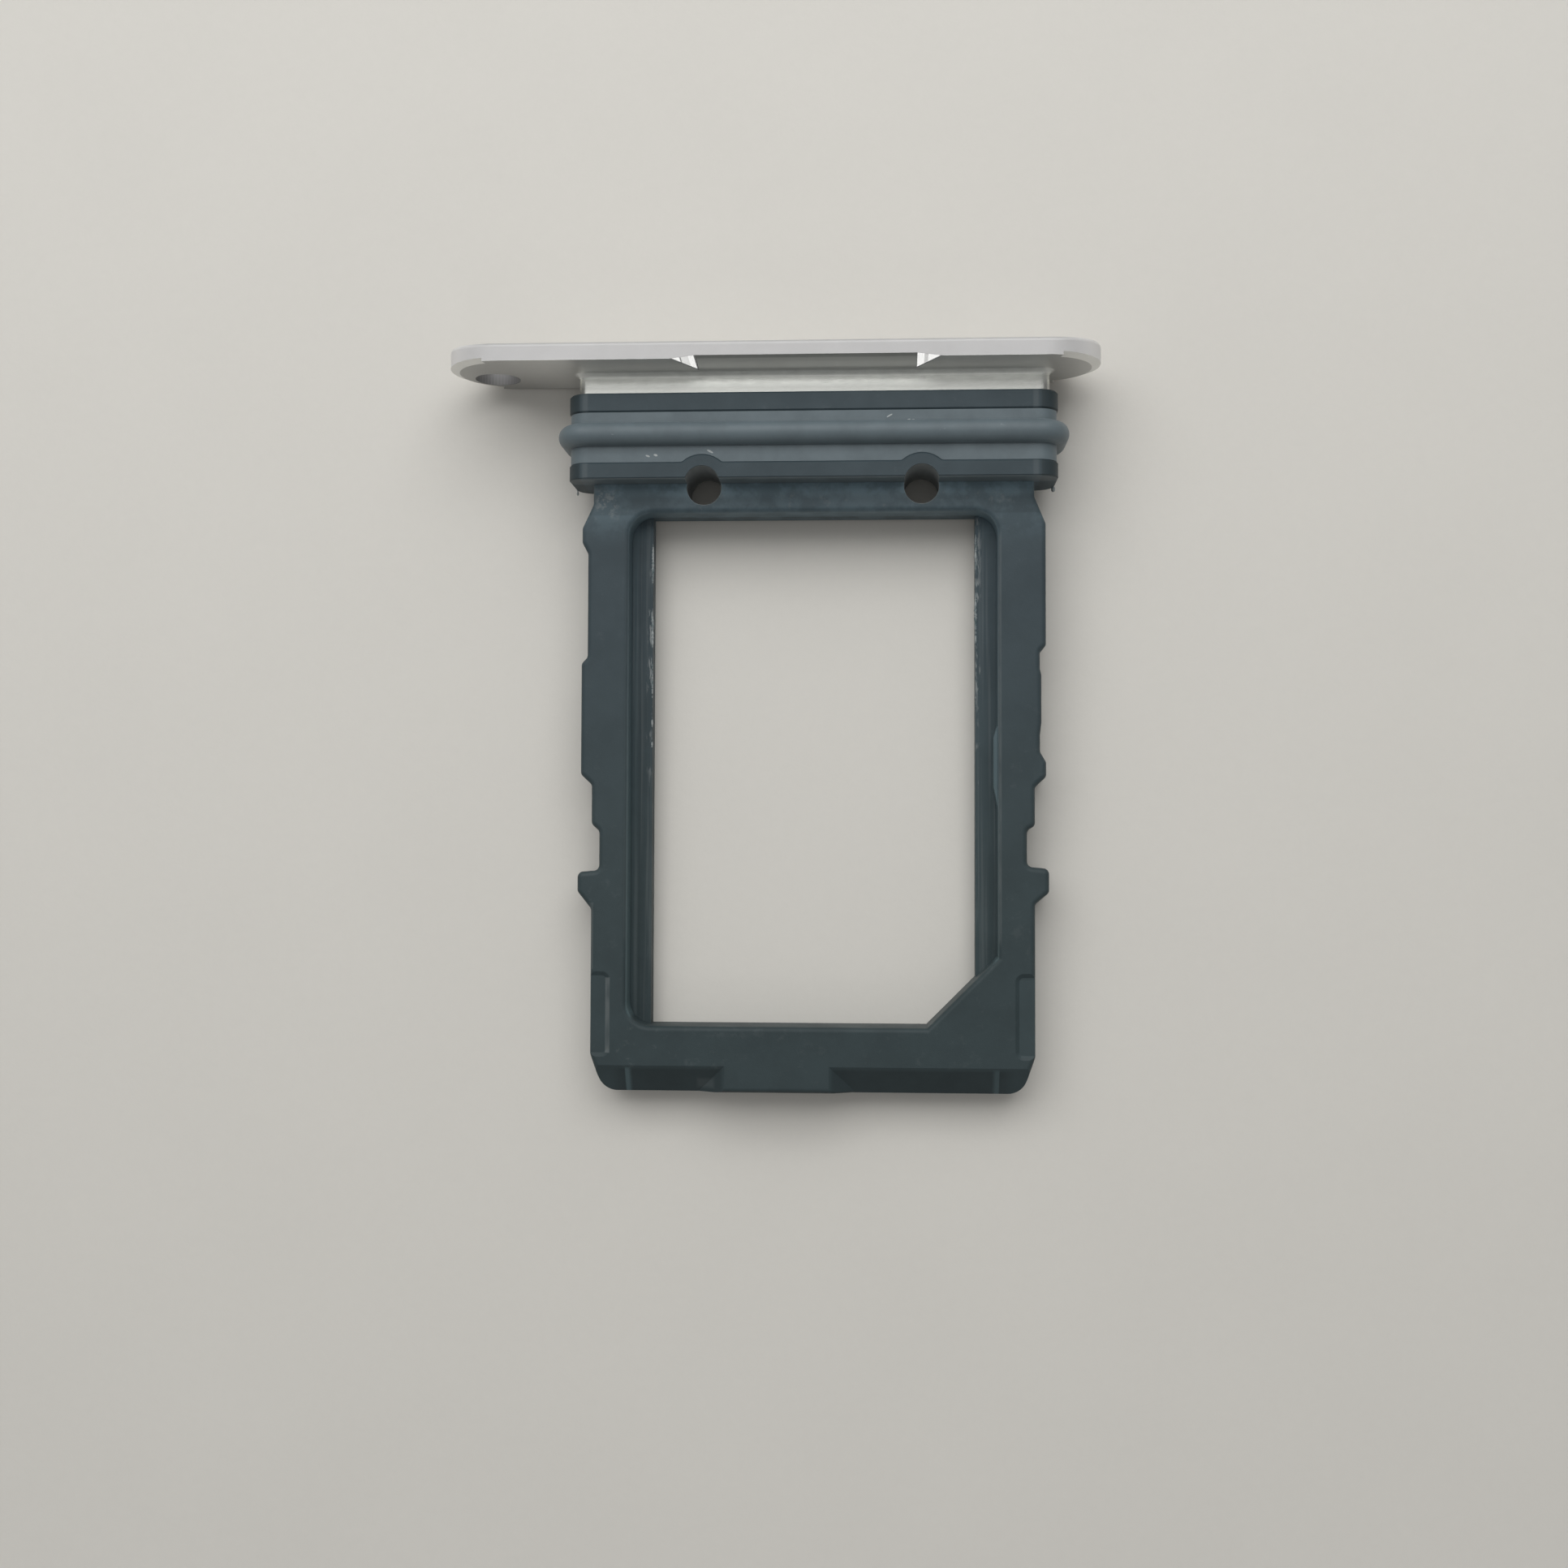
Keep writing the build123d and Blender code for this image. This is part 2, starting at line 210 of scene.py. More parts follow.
def overlap(tree, *masks):
    """Mask that is 1 only where all of the masks are."""
    result = masks[0]
    for mask in masks[1:]:
        result = maths(tree, "MULTIPLY", result, mask)
    return result


def total(tree, *shares):
    """Sum of masks, each with its share."""
    result = 0.0
    for mask, share in shares:
        result = maths(tree, "ADD", maths(tree, "MULTIPLY", mask, share), result)
    return result


def strongest(tree, *shares):
    """Largest of masks, each with its share."""
    result = 0.0
    for mask, share in shares:
        result = maths(tree, "MAXIMUM", maths(tree, "MULTIPLY", mask, share), result)
    return result


def distance(tree, first, second):
    """Length of the two legs of a right angle."""
    square = maths(tree, "MULTIPLY", first, first)
    return maths(tree, "SQRT", maths(tree, "MULTIPLY_ADD", second, second, square))


def box(tree, place, low, high, soft):
    """Mask of a box on the part, in millimetres."""
    return use_group(tree, "box_mask", Place=place, Low=low, High=high, Soft=soft)["Mask"]


def noise(tree, place, scale, detail=2.0, roughness=0.5):
    """Noise from 0 to 1 at so many cells per millimetre."""
    inputs = {"Vector": place, "Scale": scale, "Detail": detail, "Roughness": roughness}
    return add(tree, "ShaderNodeTexNoise", inputs).outputs[0]


def stretched(tree, place, scale):
    """Place with its axes scaled, to draw a pattern out."""
    return add(tree, "ShaderNodeMapping", {"Vector": place, "Scale": scale}).outputs[0]


def millimetres(tree):
    """Place on the part, in millimetres."""
    spot = add(tree, "ShaderNodeTexCoord").outputs["Object"]
    scaled = add(tree, "ShaderNodeVectorMath", {0: spot}, operation="SCALE")
    scaled.inputs["Scale"].default_value = 1 / MM
    return scaled.outputs[0]


def axes(tree, place):
    """The three coordinates of a place."""
    return add(tree, "ShaderNodeSeparateXYZ", {0: place}).outputs


def shader_group(name, inputs, outputs):
    """New shader node group; returns the tree, its inputs and its output node."""
    tree = bpy.data.node_groups.new(name, "ShaderNodeTree")
    for label, kind, default in inputs:
        tree.interface.new_socket(label, in_out="INPUT", socket_type=kind).default_value = default
    for label in outputs:
        tree.interface.new_socket(label, in_out="OUTPUT", socket_type=FLOAT)
    return tree, tree.nodes.new("NodeGroupInput").outputs, tree.nodes.new("NodeGroupOutput")


def use_group(tree, name, **inputs):
    """Outputs of a shader node group with its own values."""
    made = tree.nodes.new("ShaderNodeGroup")
    made.node_tree = bpy.data.node_groups[name]
    for label, value in inputs.items():
        socket = made.inputs[label.replace("_", " ")]
        if isinstance(value, bpy.types.NodeSocket):
            tree.links.new(value, socket)
        else:
            socket.default_value = value
    return made.outputs


def make_box_mask():
    """Node group: 1 inside a box, 0 outside it."""
    tree, given, result = shader_group(
        "box_mask",
        [
            ("Place", VECTOR, (0, 0, 0)),
            ("Low", VECTOR, (-1, -1, -1)),
            ("High", VECTOR, (1, 1, 1)),
            ("Soft", FLOAT, 0.01),
        ],
        ["Mask"],
    )
    past_low = add(tree, "ShaderNodeVectorMath", {0: given["Place"], 1: given["Low"]}, operation="SUBTRACT")
    to_high = add(tree, "ShaderNodeVectorMath", {0: given["High"], 1: given["Place"]}, operation="SUBTRACT")
    inside = add(
        tree, "ShaderNodeVectorMath", {0: past_low.outputs[0], 1: to_high.outputs[0]}, operation="MINIMUM"
    )
    x, y, z = axes(tree, inside.outputs[0])
    depth = maths(tree, "MINIMUM", maths(tree, "MINIMUM", x, y), z)
    outer = maths(tree, "MULTIPLY", given["Soft"], -1.0)
    tree.links.new(smooth_step(tree, depth, outer, given["Soft"]), result.inputs["Mask"])


def make_moulded_grain():
    """Node group: fine spark-eroded grain, broad cloudiness and their height."""
    tree, given, result = shader_group(
        "moulded_grain",
        [
            ("Place", VECTOR, (0, 0, 0)),
            ("Grain", FLOAT, 26.0),
            ("Cloud", FLOAT, 1.6),
            ("Share", FLOAT, 0.35),
        ],
        ["Height", "Cloud"],
    )
    fine = noise(tree, given["Place"], given["Grain"], 3.0, 0.6)
    broad = noise(tree, given["Place"], given["Cloud"], 4.0, 0.62)
    cloud = smooth_step(tree, broad, 0.32, 0.68)
    height = between(tree, given["Share"], fine, broad)
    tree.links.new(height, result.inputs["Height"])
    tree.links.new(cloud, result.inputs["Cloud"])


def make_rubs():
    """Node group: short bright rubs and nicks, drawn out along one axis."""
    tree, given, result = shader_group(
        "rubs",
        [("Place", VECTOR, (0, 0, 0)), ("Scale", FLOAT, 5.0), ("Start", FLOAT, 0.6), ("End", FLOAT, 0.7)],
        ["Mask"],
    )
    wide = noise(tree, given["Place"], given["Scale"], 3.0, 0.65)
    patches = noise(tree, given["Place"], maths(tree, "MULTIPLY", given["Scale"], 0.31), 1.0)
    torn = maths(tree, "ADD", maths(tree, "MULTIPLY", wide, 0.7), maths(tree, "MULTIPLY", patches, 0.3))
    tree.links.new(smooth_step(tree, torn, given["Start"], given["End"]), result.inputs["Mask"])


def make_groups():
    """Build the shared node groups once."""
    makers = {"box_mask": make_box_mask, "moulded_grain": make_moulded_grain, "rubs": make_rubs}
    for name, make in makers.items():
        if name not in bpy.data.node_groups:
            make()


def new_material(name):
    """Empty node material; returns it with its tree and shader."""
    make_groups()
    material = bpy.data.materials.new(name)
    material.use_nodes = True
    tree = material.node_tree
    return material, tree, tree.nodes["Principled BSDF"]


def feed(tree, shader, **inputs):
    """Set or link the shader's own sockets."""
    for label, value in inputs.items():
        socket = shader.inputs[label.replace("_", " ")]
        if isinstance(value, bpy.types.NodeSocket):
            tree.links.new(value, socket)
        else:
            socket.default_value = value


def bump(tree, height, depth, strength=1.0):
    """Normal from a height from 0 to 1 and its depth in metres."""
    inputs = {"Height": height, "Distance": depth, "Strength": strength}
    return add(tree, "ShaderNodeBump", inputs).outputs[0]


def bar_mask(tree, y):
    """Mask of the cross bar between the collar and the pocket."""
    past_collar = smooth_step(tree, y, COLLAR_FACE + 0.02, COLLAR_FACE - 0.01)
    return overlap(tree, smooth_step(tree, y, -4.4, -3.2), past_collar)


def pocket_walls(tree, place):
    """Masks of the pocket's walls, of the dim end of one side wall and of that wall's foot, where painted
    light lifts the shade.
    """
    x, y, z = axes(tree, place)
    beside = maths(tree, "ABSOLUTE", x)
    side_wall = smooth_step(tree, beside, 4.3, 4.42)
    reach = strongest(tree, (smooth_step(tree, y, -15.0, -13.0), 1.0), (side_wall, 1.0))
    wall = overlap(tree, smooth_step(tree, beside, 4.5, 4.47), band(tree, z, -0.39, 0.27, 0.03), reach)
    one_side = smooth_step(tree, x, 1.0, -1.0)
    dim_wall = overlap(tree, wall, side_wall, one_side, smooth_step(tree, y, -4.0, -14.0))
    wall_foot = box(tree, place, (-4.47, -15.7, -0.5), (-4.3, -3.6, -0.4), 0.04)
    return wall, dim_wall, wall_foot


def moulding_level(tree, place, cloud):
    """Brightness of the plastic: cloudy flow marks, painted light by the collar, on the pocket's walls and
    ledges and on a relief's floor, and painted shade on the tip's slope.
    """
    x, y, z = axes(tree, place)
    along = smooth_step(tree, y, -17.0, -5.0)
    bar = bar_mask(tree, y)
    patchy_bar_light = overlap(tree, bar, smooth_step(tree, noise(tree, place, 1.7, 4.0, 0.65), 0.4, 0.62))
    wall, dim_wall, wall_foot = pocket_walls(tree, place)
    shaded = overlap(tree, smooth_step(tree, x, 3.9, 3.96), smooth_step(tree, z, -0.3, -0.4))
    relief_floor = box(tree, place, (4.95, -16.55, 0.2), (5.4, -14.7, 0.27), 0.03)
    # Painted light: brighter towards the collar, lifted over the bar in patches, on the pocket's walls, at
    # the left wall's foot, on the shaded right ledge and on the right relief's floor
    tone = total(
        tree,
        (along, 0.12),
        (cloud, 0.1),
        (bar, 0.42),
        (patchy_bar_light, 0.5),
        (wall, 0.7),
        (dim_wall, 0.4),
        (wall_foot, 0.24),
        (shaded, 0.14),
        (relief_floor, 0.1),
    )
    level = maths(tree, "MULTIPLY_ADD", tone, 1.2, 0.74)

    # Top of the bar: painted light lifts the shade in the crease under the collar, and the band is darker
    # further from it
    top = overlap(tree, smooth_step(tree, z, 0.2, 0.28), smooth_step(tree, z, 0.36, 0.32))
    head = overlap(tree, band(tree, y, -3.5, COLLAR_FACE, 0.03), top)
    crease = between(tree, smooth_step(tree, y, -3.16, -2.84), 0.82, 1.75)
    level = maths(tree, "MULTIPLY", level, between(tree, head, 1.0, crease))

    # Painted shade on the tip's slope
    inside = smooth_step(tree, maths(tree, "ABSOLUTE", x), 4.9, 4.5)
    slope = overlap(tree, smooth_step(tree, y, -16.78, -16.9), smooth_step(tree, z, 0.3, 0.24), inside)
    return maths(tree, "MULTIPLY", level, between(tree, slope, 1.0, 0.74))


def ledge_wear(tree, place, sizes):
    """Torn patches, mostly in the half next to the collar, and long draw marks, each with its share."""
    x, y, z = axes(tree, place)
    beside = maths(tree, "ABSOLUTE", x)
    edge = sizes.ledge_edge / MM
    seat = LEDGE_TOP / MM
    ledge = overlap(tree, band(tree, z, seat - 0.09, seat + 0.03, 0.02), band(tree, y, -15.8, -3.5, 0.05))
    lip = band(tree, beside, edge - 0.02, edge + 0.11, 0.08)
    combed = stretched(tree, place, (1.0, 0.16, 1.0))
    fibres = use_group(tree, "rubs", Place=combed, Scale=17.0, Start=0.5, End=0.58)["Mask"]
    patches = smooth_step(tree, noise(tree, stretched(tree, place, (0.2, 1.0, 1.0)), 1.1, 1.0), 0.4, 0.56)
    used = between(tree, smooth_step(tree, y, -10.6, -9.0), 0.1, 1.0)
    torn = overlap(tree, ledge, lip, fibres, patches, used)
    marks = noise(tree, stretched(tree, place, (9.0, 0.12, 1.0)), 1.6, 2.0)
    run = band(tree, beside, edge - 0.02, edge + 0.52, 0.04)
    drag = overlap(tree, ledge, smooth_step(tree, marks, 0.48, 0.7), run)
    return (torn, 0.78), (drag, 0.12)


def edge_highlights(tree, place):
    """Painted highlights on the pocket's rim, strongest on one side, and on edges by the tip, each with its
    share.
    """
    x, y, z = axes(tree, place)
    beside = maths(tree, "ABSOLUTE", x)
    streaks = smooth_step(tree, noise(tree, stretched(tree, place, (1.0, 0.3, 1.0)), 6.0, 2.0), 0.3, 0.62)
    lit_side = between(tree, smooth_step(tree, x, -1.0, 1.0), 0.3, 1.0)
    run = overlap(tree, band(tree, y, -13.8, -4.0, 0.2), lit_side, between(tree, streaks, 0.6, 1.0))
    rim = overlap(tree, band(tree, beside, 4.47, 4.54, 0.015), band(tree, z, 0.15, 0.33, 0.02), run)
    relief_edge = box(tree, place, (-4.97, -16.5, 0.2), (-4.86, -14.7, 0.33), 0.015)
    relief_edge = overlap(tree, relief_edge, between(tree, streaks, 0.5, 1.0))
    outer_edge = box(tree, place, (-5.36, -14.5, 0.1), (-5.27, -12.9, 0.32), 0.015)
    rib_side = box(tree, place, (-2.75, -17.34, -0.1), (-2.35, -17.12, 0.25), 0.06)
    return (rim, 0.2), (relief_edge, 0.3), (outer_edge, 0.14), (rib_side, 0.08)


def face_rubs(tree, place):
    """Smears by the neck and faint rubs on the bars and rails, each with its share."""
    x, y, z = axes(tree, place)
    rubbed = use_group(tree, "rubs", Place=place, Scale=4.2, Start=0.56, End=0.72)["Mask"]
    smear = use_group(tree, "rubs", Place=place, Scale=8.0, Start=0.45, End=0.6)["Mask"]
    neck = overlap(tree, box(tree, place, (-5.25, -3.5, -0.1), (-4.8, -2.85, 0.4), 0.2), smear)
    top_face = smooth_step(tree, z, 0.2, 0.29)
    corner = overlap(tree, smooth_step(tree, x, -2.0, -4.0), smooth_step(tree, y, -15.2, -16.0))
    strength = total(tree, (bar_mask(tree, y), 0.14), (corner, 0.08), (top_face, 0.05))
    return (neck, 0.5), (overlap(tree, rubbed, top_face, strength), 1.0)


def charcoal_moulding(colours, sizes):
    """Moulded plastic with a fine grain, rubs and torn ledge edges, painted light by the collar and in its
    pin holes, painted highlights on edges and painted shade on the collar's ends.
    """
    material, tree, shader = new_material("charcoal_moulding")
    place = millimetres(tree)
    x, y, z = axes(tree, place)
    grain = use_group(tree, "moulded_grain", Place=place, Grain=24.0, Cloud=0.8, Share=0.3)
    cool = smooth_step(tree, y, -14.0, -4.0)
    hue = blend(tree, cool, rgba(colours.moulding), rgba(colours.moulding_cool))
    scaled = add(tree, "ShaderNodeVectorMath", {0: hue}, operation="SCALE")
    tree.links.new(moulding_level(tree, place, grain["Cloud"]), scaled.inputs["Scale"])

    # Collar's rounded ends: painted shade past a painted highlight strip
    collar = smooth_step(tree, y, COLLAR_FACE - 0.04, COLLAR_FACE + 0.02)
    outward = maths(tree, "ABSOLUTE", maths(tree, "ADD", x, 0.06))
    end_shade = overlap(tree, collar, smooth_step(tree, outward, 5.47, 5.56))
    end_shade_share = maths(tree, "MULTIPLY", end_shade, 0.6)
    colour = blend(tree, end_shade_share, scaled.outputs[0], rgba(colours.moulding, 0.4))
    end_highlight = overlap(tree, collar, band(tree, outward, 5.32, 5.45, 0.03))

    # Painted light on the collar's face over the bar, and on the walls of the mould pin holes
    face = band(tree, y, COLLAR_FACE - 0.02, COLLAR_FACE + 0.02, 0.01)
    brow = overlap(tree, face, smooth_step(tree, z, 0.3, 0.36))
    beside_pin = maths(tree, "SUBTRACT", maths(tree, "ABSOLUTE", x), PIN_X)
    from_pin = distance(tree, beside_pin, maths(tree, "SUBTRACT", y, PIN_Y))
    pin = overlap(
        tree,
        smooth_step(tree, from_pin, PIN_RADIUS + 0.008, PIN_RADIUS + 0.001),
        smooth_step(tree, z, COLLAR_TOP, COLLAR_TOP - 0.07),
    )

    # Torn ledges, drag marks and face rubs are real wear; the edge highlights, the end strip and the
    # collar's face are painted light.
    wear_and_light = strongest(
        tree,
        *ledge_wear(tree, place, sizes),
        *edge_highlights(tree, place),
        *face_rubs(tree, place),
        (end_highlight, 0.1),
        (brow, 0.25),
    )
    colour = blend(tree, wear_and_light, colour, rgba(colours.moulding_worn_and_lit))
    colour = blend(tree, pin, colour, rgba(colours.moulding_worn_and_lit, 0.85))

    roughness = between(tree, grain["Cloud"], 0.56, 0.48)
    normal = bump(tree, grain["Height"], 0.006 * MM, 0.6)
    feed(tree, shader, Base_Color=colour, Roughness=roughness, Normal=normal)
    feed(tree, shader, Specular_IOR_Level=0.28)
    return material


def torn_plastic(colours):
    """Pale torn plastic of burrs and flash."""
    material, tree, shader = new_material("torn_plastic")
    place = millimetres(tree)
    grain = use_group(tree, "moulded_grain", Place=place, Grain=18.0, Cloud=5.0, Share=0.5)
    colour = blend(tree, grain["Cloud"], rgba(colours.moulding, 2.0), rgba(colours.moulding_worn_and_lit, 1.3))
    feed(tree, shader, Base_Color=colour, Roughness=0.42, Normal=bump(tree, grain["Height"], 0.01 * MM))
    return material


def slate_silicone(colours):
    """Smooth silicone with a powdery skin, faint cloudiness and a few dust specks."""
    material, tree, shader = new_material("slate_silicone")
    place = millimetres(tree)
    grain = use_group(tree, "moulded_grain", Place=place, Grain=34.0, Cloud=1.1, Share=0.25)
    colour = blend(tree, grain["Cloud"], rgba(colours.silicone, 0.93), rgba(colours.silicone, 1.08))
    drawn = stretched(tree, place, (0.5, 1.6, 1.6))
    dust = use_group(tree, "rubs", Place=drawn, Scale=9.0, Start=0.66, End=0.74)["Mask"]
    colour = blend(tree, maths(tree, "MULTIPLY", dust, 0.35), colour, rgba(colours.lint))
    roughness = between(tree, grain["Cloud"], 0.58, 0.5)
    normal = bump(tree, grain["Height"], 0.003 * MM)
    feed(tree, shader, Base_Color=colour, Roughness=roughness, Normal=normal)
    feed(tree, shader, Sheen_Weight=0.12, Sheen_Roughness=0.4)
    return material


def pale_lint(colours):
    """Matt pale fibre."""
    material, tree, shader = new_material("pale_lint")
    fibre = noise(tree, millimetres(tree), 30.0, 2.0)
    colour = blend(tree, fibre, rgba(colours.lint, 0.7), rgba(colours.lint, 1.2))
    feed(tree, shader, Base_Color=colour, Roughness=0.8)
    return material


def plate_zones(tree, place):
    """Masks of the plate's machined zones, and two distances along it that they are measured by."""
    x, y, z = axes(tree, place)

    # Scoop, with a facet at each end of its floor
    across = maths(tree, "ABSOLUTE", maths(tree, "SUBTRACT", x, SCOOP_MIDDLE))
    scoop = box(tree, place, (-3.38, 0.004, 0.44), (3.14, 0.095, 1.53), 0.004)
    facet = overlap(tree, scoop, smooth_step(tree, across, SCOOP_FLOOR_HALF, SCOOP_FLOOR_HALF + 0.02))
    floor = maths(tree, "SUBTRACT", scoop, facet)

    # Bevels round both ends of the back
    middle = (PLATE_LOW + PLATE_HIGH) / 2 / MM
    end_radius = (PLATE_HIGH.z - PLATE_LOW.z) / 2 / MM
    end_reach = (PLATE_HIGH.x - PLATE_LOW.x) / 2 / MM - end_radius
    from_middle = maths(tree, "ABSOLUTE", maths(tree, "SUBTRACT", x, middle.x))
    along = maths(tree, "SUBTRACT", from_middle, end_reach)
    radius = distance(tree, along, maths(tree, "SUBTRACT", z, middle.z))
    ring = band(tree, radius, end_radius - 0.26, end_radius - 0.006, 0.004)
    bevel = overlap(tree, ring, band(tree, y, 0.002, 0.09, 0.002))

    back = smooth_step(tree, y, 0.006, 0.001)
    return {
        "across": across,
        "along": along,
        "facet": facet,
        "floor": floor,
        "bevel": bevel,
        "back": back,
        "land": smooth_step(tree, y, -0.002, -0.02),
        "bare": strongest(tree, (back, 1.0), (scoop, 1.0), (bevel, 1.0)),
    }


def facet_stripes_and_scoop_shade(tree, place, zones):
    """Mask of painted reflection stripes on the facets, of painted shade at the scoop floor's foot and of a
    dark band at its brow.
    """
    x, _, z = axes(tree, place)
    across = zones["across"]
    eject_facet = overlap(tree, zones["facet"], smooth_step(tree, x, 0.5, -0.5))
    far_facet = overlap(tree, zones["facet"], smooth_step(tree, x, -0.5, 0.5))
    grey = overlap(tree, eject_facet, band(tree, across, 2.79, 2.96, 0.012))
    dull = overlap(tree, far_facet, band(tree, across, 2.8, 2.89, 0.012))
    cut = overlap(tree, eject_facet, band(tree, across, 2.965, 2.995, 0.008))
    inner = overlap(tree, eject_facet, band(tree, across, 2.6, 2.66, 0.01))
    foot = overlap(tree, zones["floor"], band(tree, z, 0.4, 0.6, 0.05))
    brow = overlap(tree, zones["floor"], band(tree, z, 1.3, 1.55, 0.05))
    return strongest(
        tree, (grey, 0.22), (dull, 0.42), (cut, 0.85), (inner, 0.95), (foot, 0.12), (brow, 0.28)
    )


def plate_metal(colours):
    """Satin anodised aluminium with a bare machined back, land, scoop and end bevels."""
    material, tree, shader = new_material("plate_metal")
    place = millimetres(tree)
    x, y, z = axes(tree, place)
    zones = plate_zones(tree, place)
    facet, land, bare = zones["facet"], zones["land"], zones["bare"]

    # Colour: even satin coat with painted light on the rim's ends, plain bare back and mottled land
    coat = use_group(tree, "moulded_grain", Place=place, Grain=30.0, Cloud=0.9, Share=0.2)
    satin = blend(tree, coat["Cloud"], rgba(colours.anodised, 0.97), rgba(colours.anodised, 1.02))
    rim_end_light = overlap(tree, smooth_step(tree, zones["along"], 0.2, 1.1), smooth_step(tree, y, 0.53, 0.45))
    satin = blend(tree, rim_end_light, satin, rgba(colours.anodised, 1.45))
    drawn = stretched(tree, place, (0.5, 1.0, 1.0))
    mottle = use_group(tree, "moulded_grain", Place=drawn, Grain=20.0, Cloud=6.0, Share=0.55)
    peened = blend(tree, mottle["Cloud"], rgba(colours.peened_metal, 0.88), rgba(colours.peened_metal))
    outer_land = smooth_step(tree, y, -0.2, -0.42)
    peened = blend(tree, outer_land, peened, rgba(colours.peened_metal, 0.5))
    plain = blend(tree, coat["Cloud"], rgba(colours.bare_metal, 0.96), rgba(colours.bare_metal))
    colour = blend(tree, bare, satin, blend(tree, land, plain, peened))
    # Painted reflection stripes on the facets and painted shade at the scoop floor's foot
    colour = blend(tree, facet_stripes_and_scoop_shade(tree, place, zones), colour, rgba(colours.bare_metal, 0.1))

    # The back and its bevels darker towards both ends, and painted shade on the ejector hole's wall
    eject_end = smooth_step(tree, x, -5.4, -8.1)
    far_end = smooth_step(tree, x, 5.2, 6.4)
    back_and_bevels = strongest(tree, (zones["back"], 1.0), (zones["bevel"], 0.35))
    end_darkening = overlap(tree, back_and_bevels, strongest(tree, (eject_end, 1.0), (far_end, 0.55)))
    colour = blend(tree, end_darkening, colour, rgba(colours.bare_metal, 0.5))
    hole = Vector(MOUNTS["eject_hole"]["pos_m"]) / MM
    from_hole = distance(tree, maths(tree, "SUBTRACT", x, hole.x), maths(tree, "SUBTRACT", z, hole.z))
    bore_shade = smooth_step(tree, from_hole, EJECT_RADIUS + 0.01, EJECT_RADIUS - 0.005)
    colour = blend(tree, bore_shade, colour, rgba(colours.anodised, 0.3))

    # Facets are cut hollow, so their shading leans up
    height = between(tree, land, coat["Height"], mottle["Height"])
    skin = bump(tree, height, 0.005 * MM, 0.5)
    sideways, upward = (maths(tree, "MULTIPLY", facet, share) for share in (0.05, 1.62))
    lean = add(tree, "ShaderNodeCombineXYZ", {0: sideways, 2: upward})
    leaning = add(tree, "ShaderNodeVectorMath", {0: skin, 1: lean.outputs[0]}, operation="ADD").outputs[0]
    normal = add(tree, "ShaderNodeVectorMath", {0: leaning}, operation="NORMALIZE").outputs[0]

    # Chalky root of the land, where the plate's back stands over it
    chalky = smooth_step(tree, y, -0.16, -0.06)
    metallic = between(tree, bare, 0.3, between(tree, land, 1.0, between(tree, chalky, 0.75, 0.0)))
    cut_face = between(tree, zones["floor"], between(tree, facet, 0.46, 0.26), 0.32)
    roughness = between(tree, bare, 0.5, between(tree, land, cut_face, 0.27))
    feed(tree, shader, Base_Color=colour, Metallic=metallic, Roughness=roughness, Normal=normal)
    return material


def table_top(colours):
    """Pale table with a faint speckle."""
    material, tree, shader = new_material("table_top")
    place = millimetres(tree)
    speckle = noise(tree, place, 4.0, 4.0, 0.7)
    cloud = noise(tree, place, 0.22, 3.0, 0.6)
    mixed = between(tree, 0.5, speckle, cloud)
    colour = blend(tree, mixed, rgba(colours.floor, 0.96), rgba(colours.floor, 1.04))
    feed(tree, shader, Base_Color=colour, Roughness=0.6, Normal=bump(tree, speckle, 0.004 * MM))
    return material


def geometry_tree(name, inputs):
    """New geometry node tree with named inputs; returns the tree, its inputs and its output node."""
    tree = bpy.data.node_groups.new(name, "GeometryNodeTree")
    for label, kind in inputs:
        tree.interface.new_socket(label, in_out="INPUT", socket_type=kind)
    tree.interface.new_socket("Geometry", in_out="OUTPUT", socket_type=GEOMETRY)
    return tree, tree.nodes.new("NodeGroupInput").outputs, tree.nodes.new("NodeGroupOutput")


def finish_tree(tree, geometry, material, result):
    """End a geometry tree in real geometry with its material."""
    real = add(tree, "GeometryNodeRealizeInstances", {"Geometry": geometry}).outputs[0]
    dressed = add(tree, "GeometryNodeSetMaterial", {"Geometry": real, "Material": material}).outputs[0]
    tree.links.new(dressed, result.inputs["Geometry"])


def ragged_edge_tree():
    """Torn edge that follows a path, thick in patches and nothing in between."""
    tree, given, result = geometry_tree(
        "ragged_edge",
        [
            ("Path", GEOMETRY),
            ("Spacing", FLOAT),
            ("Reach", FLOAT),
            ("Patch scale", FLOAT),
            ("Bare share", FLOAT),
            ("Seed", INTEGER),
            ("Finish", MATERIAL),
        ],
    )
    curve = add(tree, "GeometryNodeMeshToCurve", {"Mesh": given["Path"]}).outputs[0]
    steps = {"Curve": curve, "Length": given["Spacing"]}
    points = add(tree, "GeometryNodeResampleCurve", steps, mode="LENGTH")
    spot = add(tree, "GeometryNodeInputPosition").outputs[0]
    patch = add(
        tree,
        "ShaderNodeTexNoise",
        {"Vector": spot, "W": given["Seed"], "Scale": given["Patch scale"], "Detail": 1.0},
        noise_dimensions="4D",
    ).outputs[0]
    swell = maths(tree, "MAXIMUM", maths(tree, "SUBTRACT", patch, given["Bare share"]), 0.0)
    jag = add(tree, "FunctionNodeRandomValue", {2: 0.35, 3: 1.0, "Seed": given["Seed"]}).outputs[1]
    ragged = maths(tree, "MULTIPLY", maths(tree, "POWER", swell, 0.5), jag)
    width = maths(tree, "MULTIPLY", ragged, given["Reach"])
    profile = add(tree, "GeometryNodeCurvePrimitiveCircle", {"Resolution": 5, "Radius": 1.0}).outputs[0]
    torn = add(
        tree,
        "GeometryNodeCurveToMesh",
        {"Curve": points.outputs[0], "Profile Curve": profile, "Scale": width, "Fill Caps": True},
    ).outputs[0]
    finish_tree(tree, torn, given["Finish"], result)
    return tree


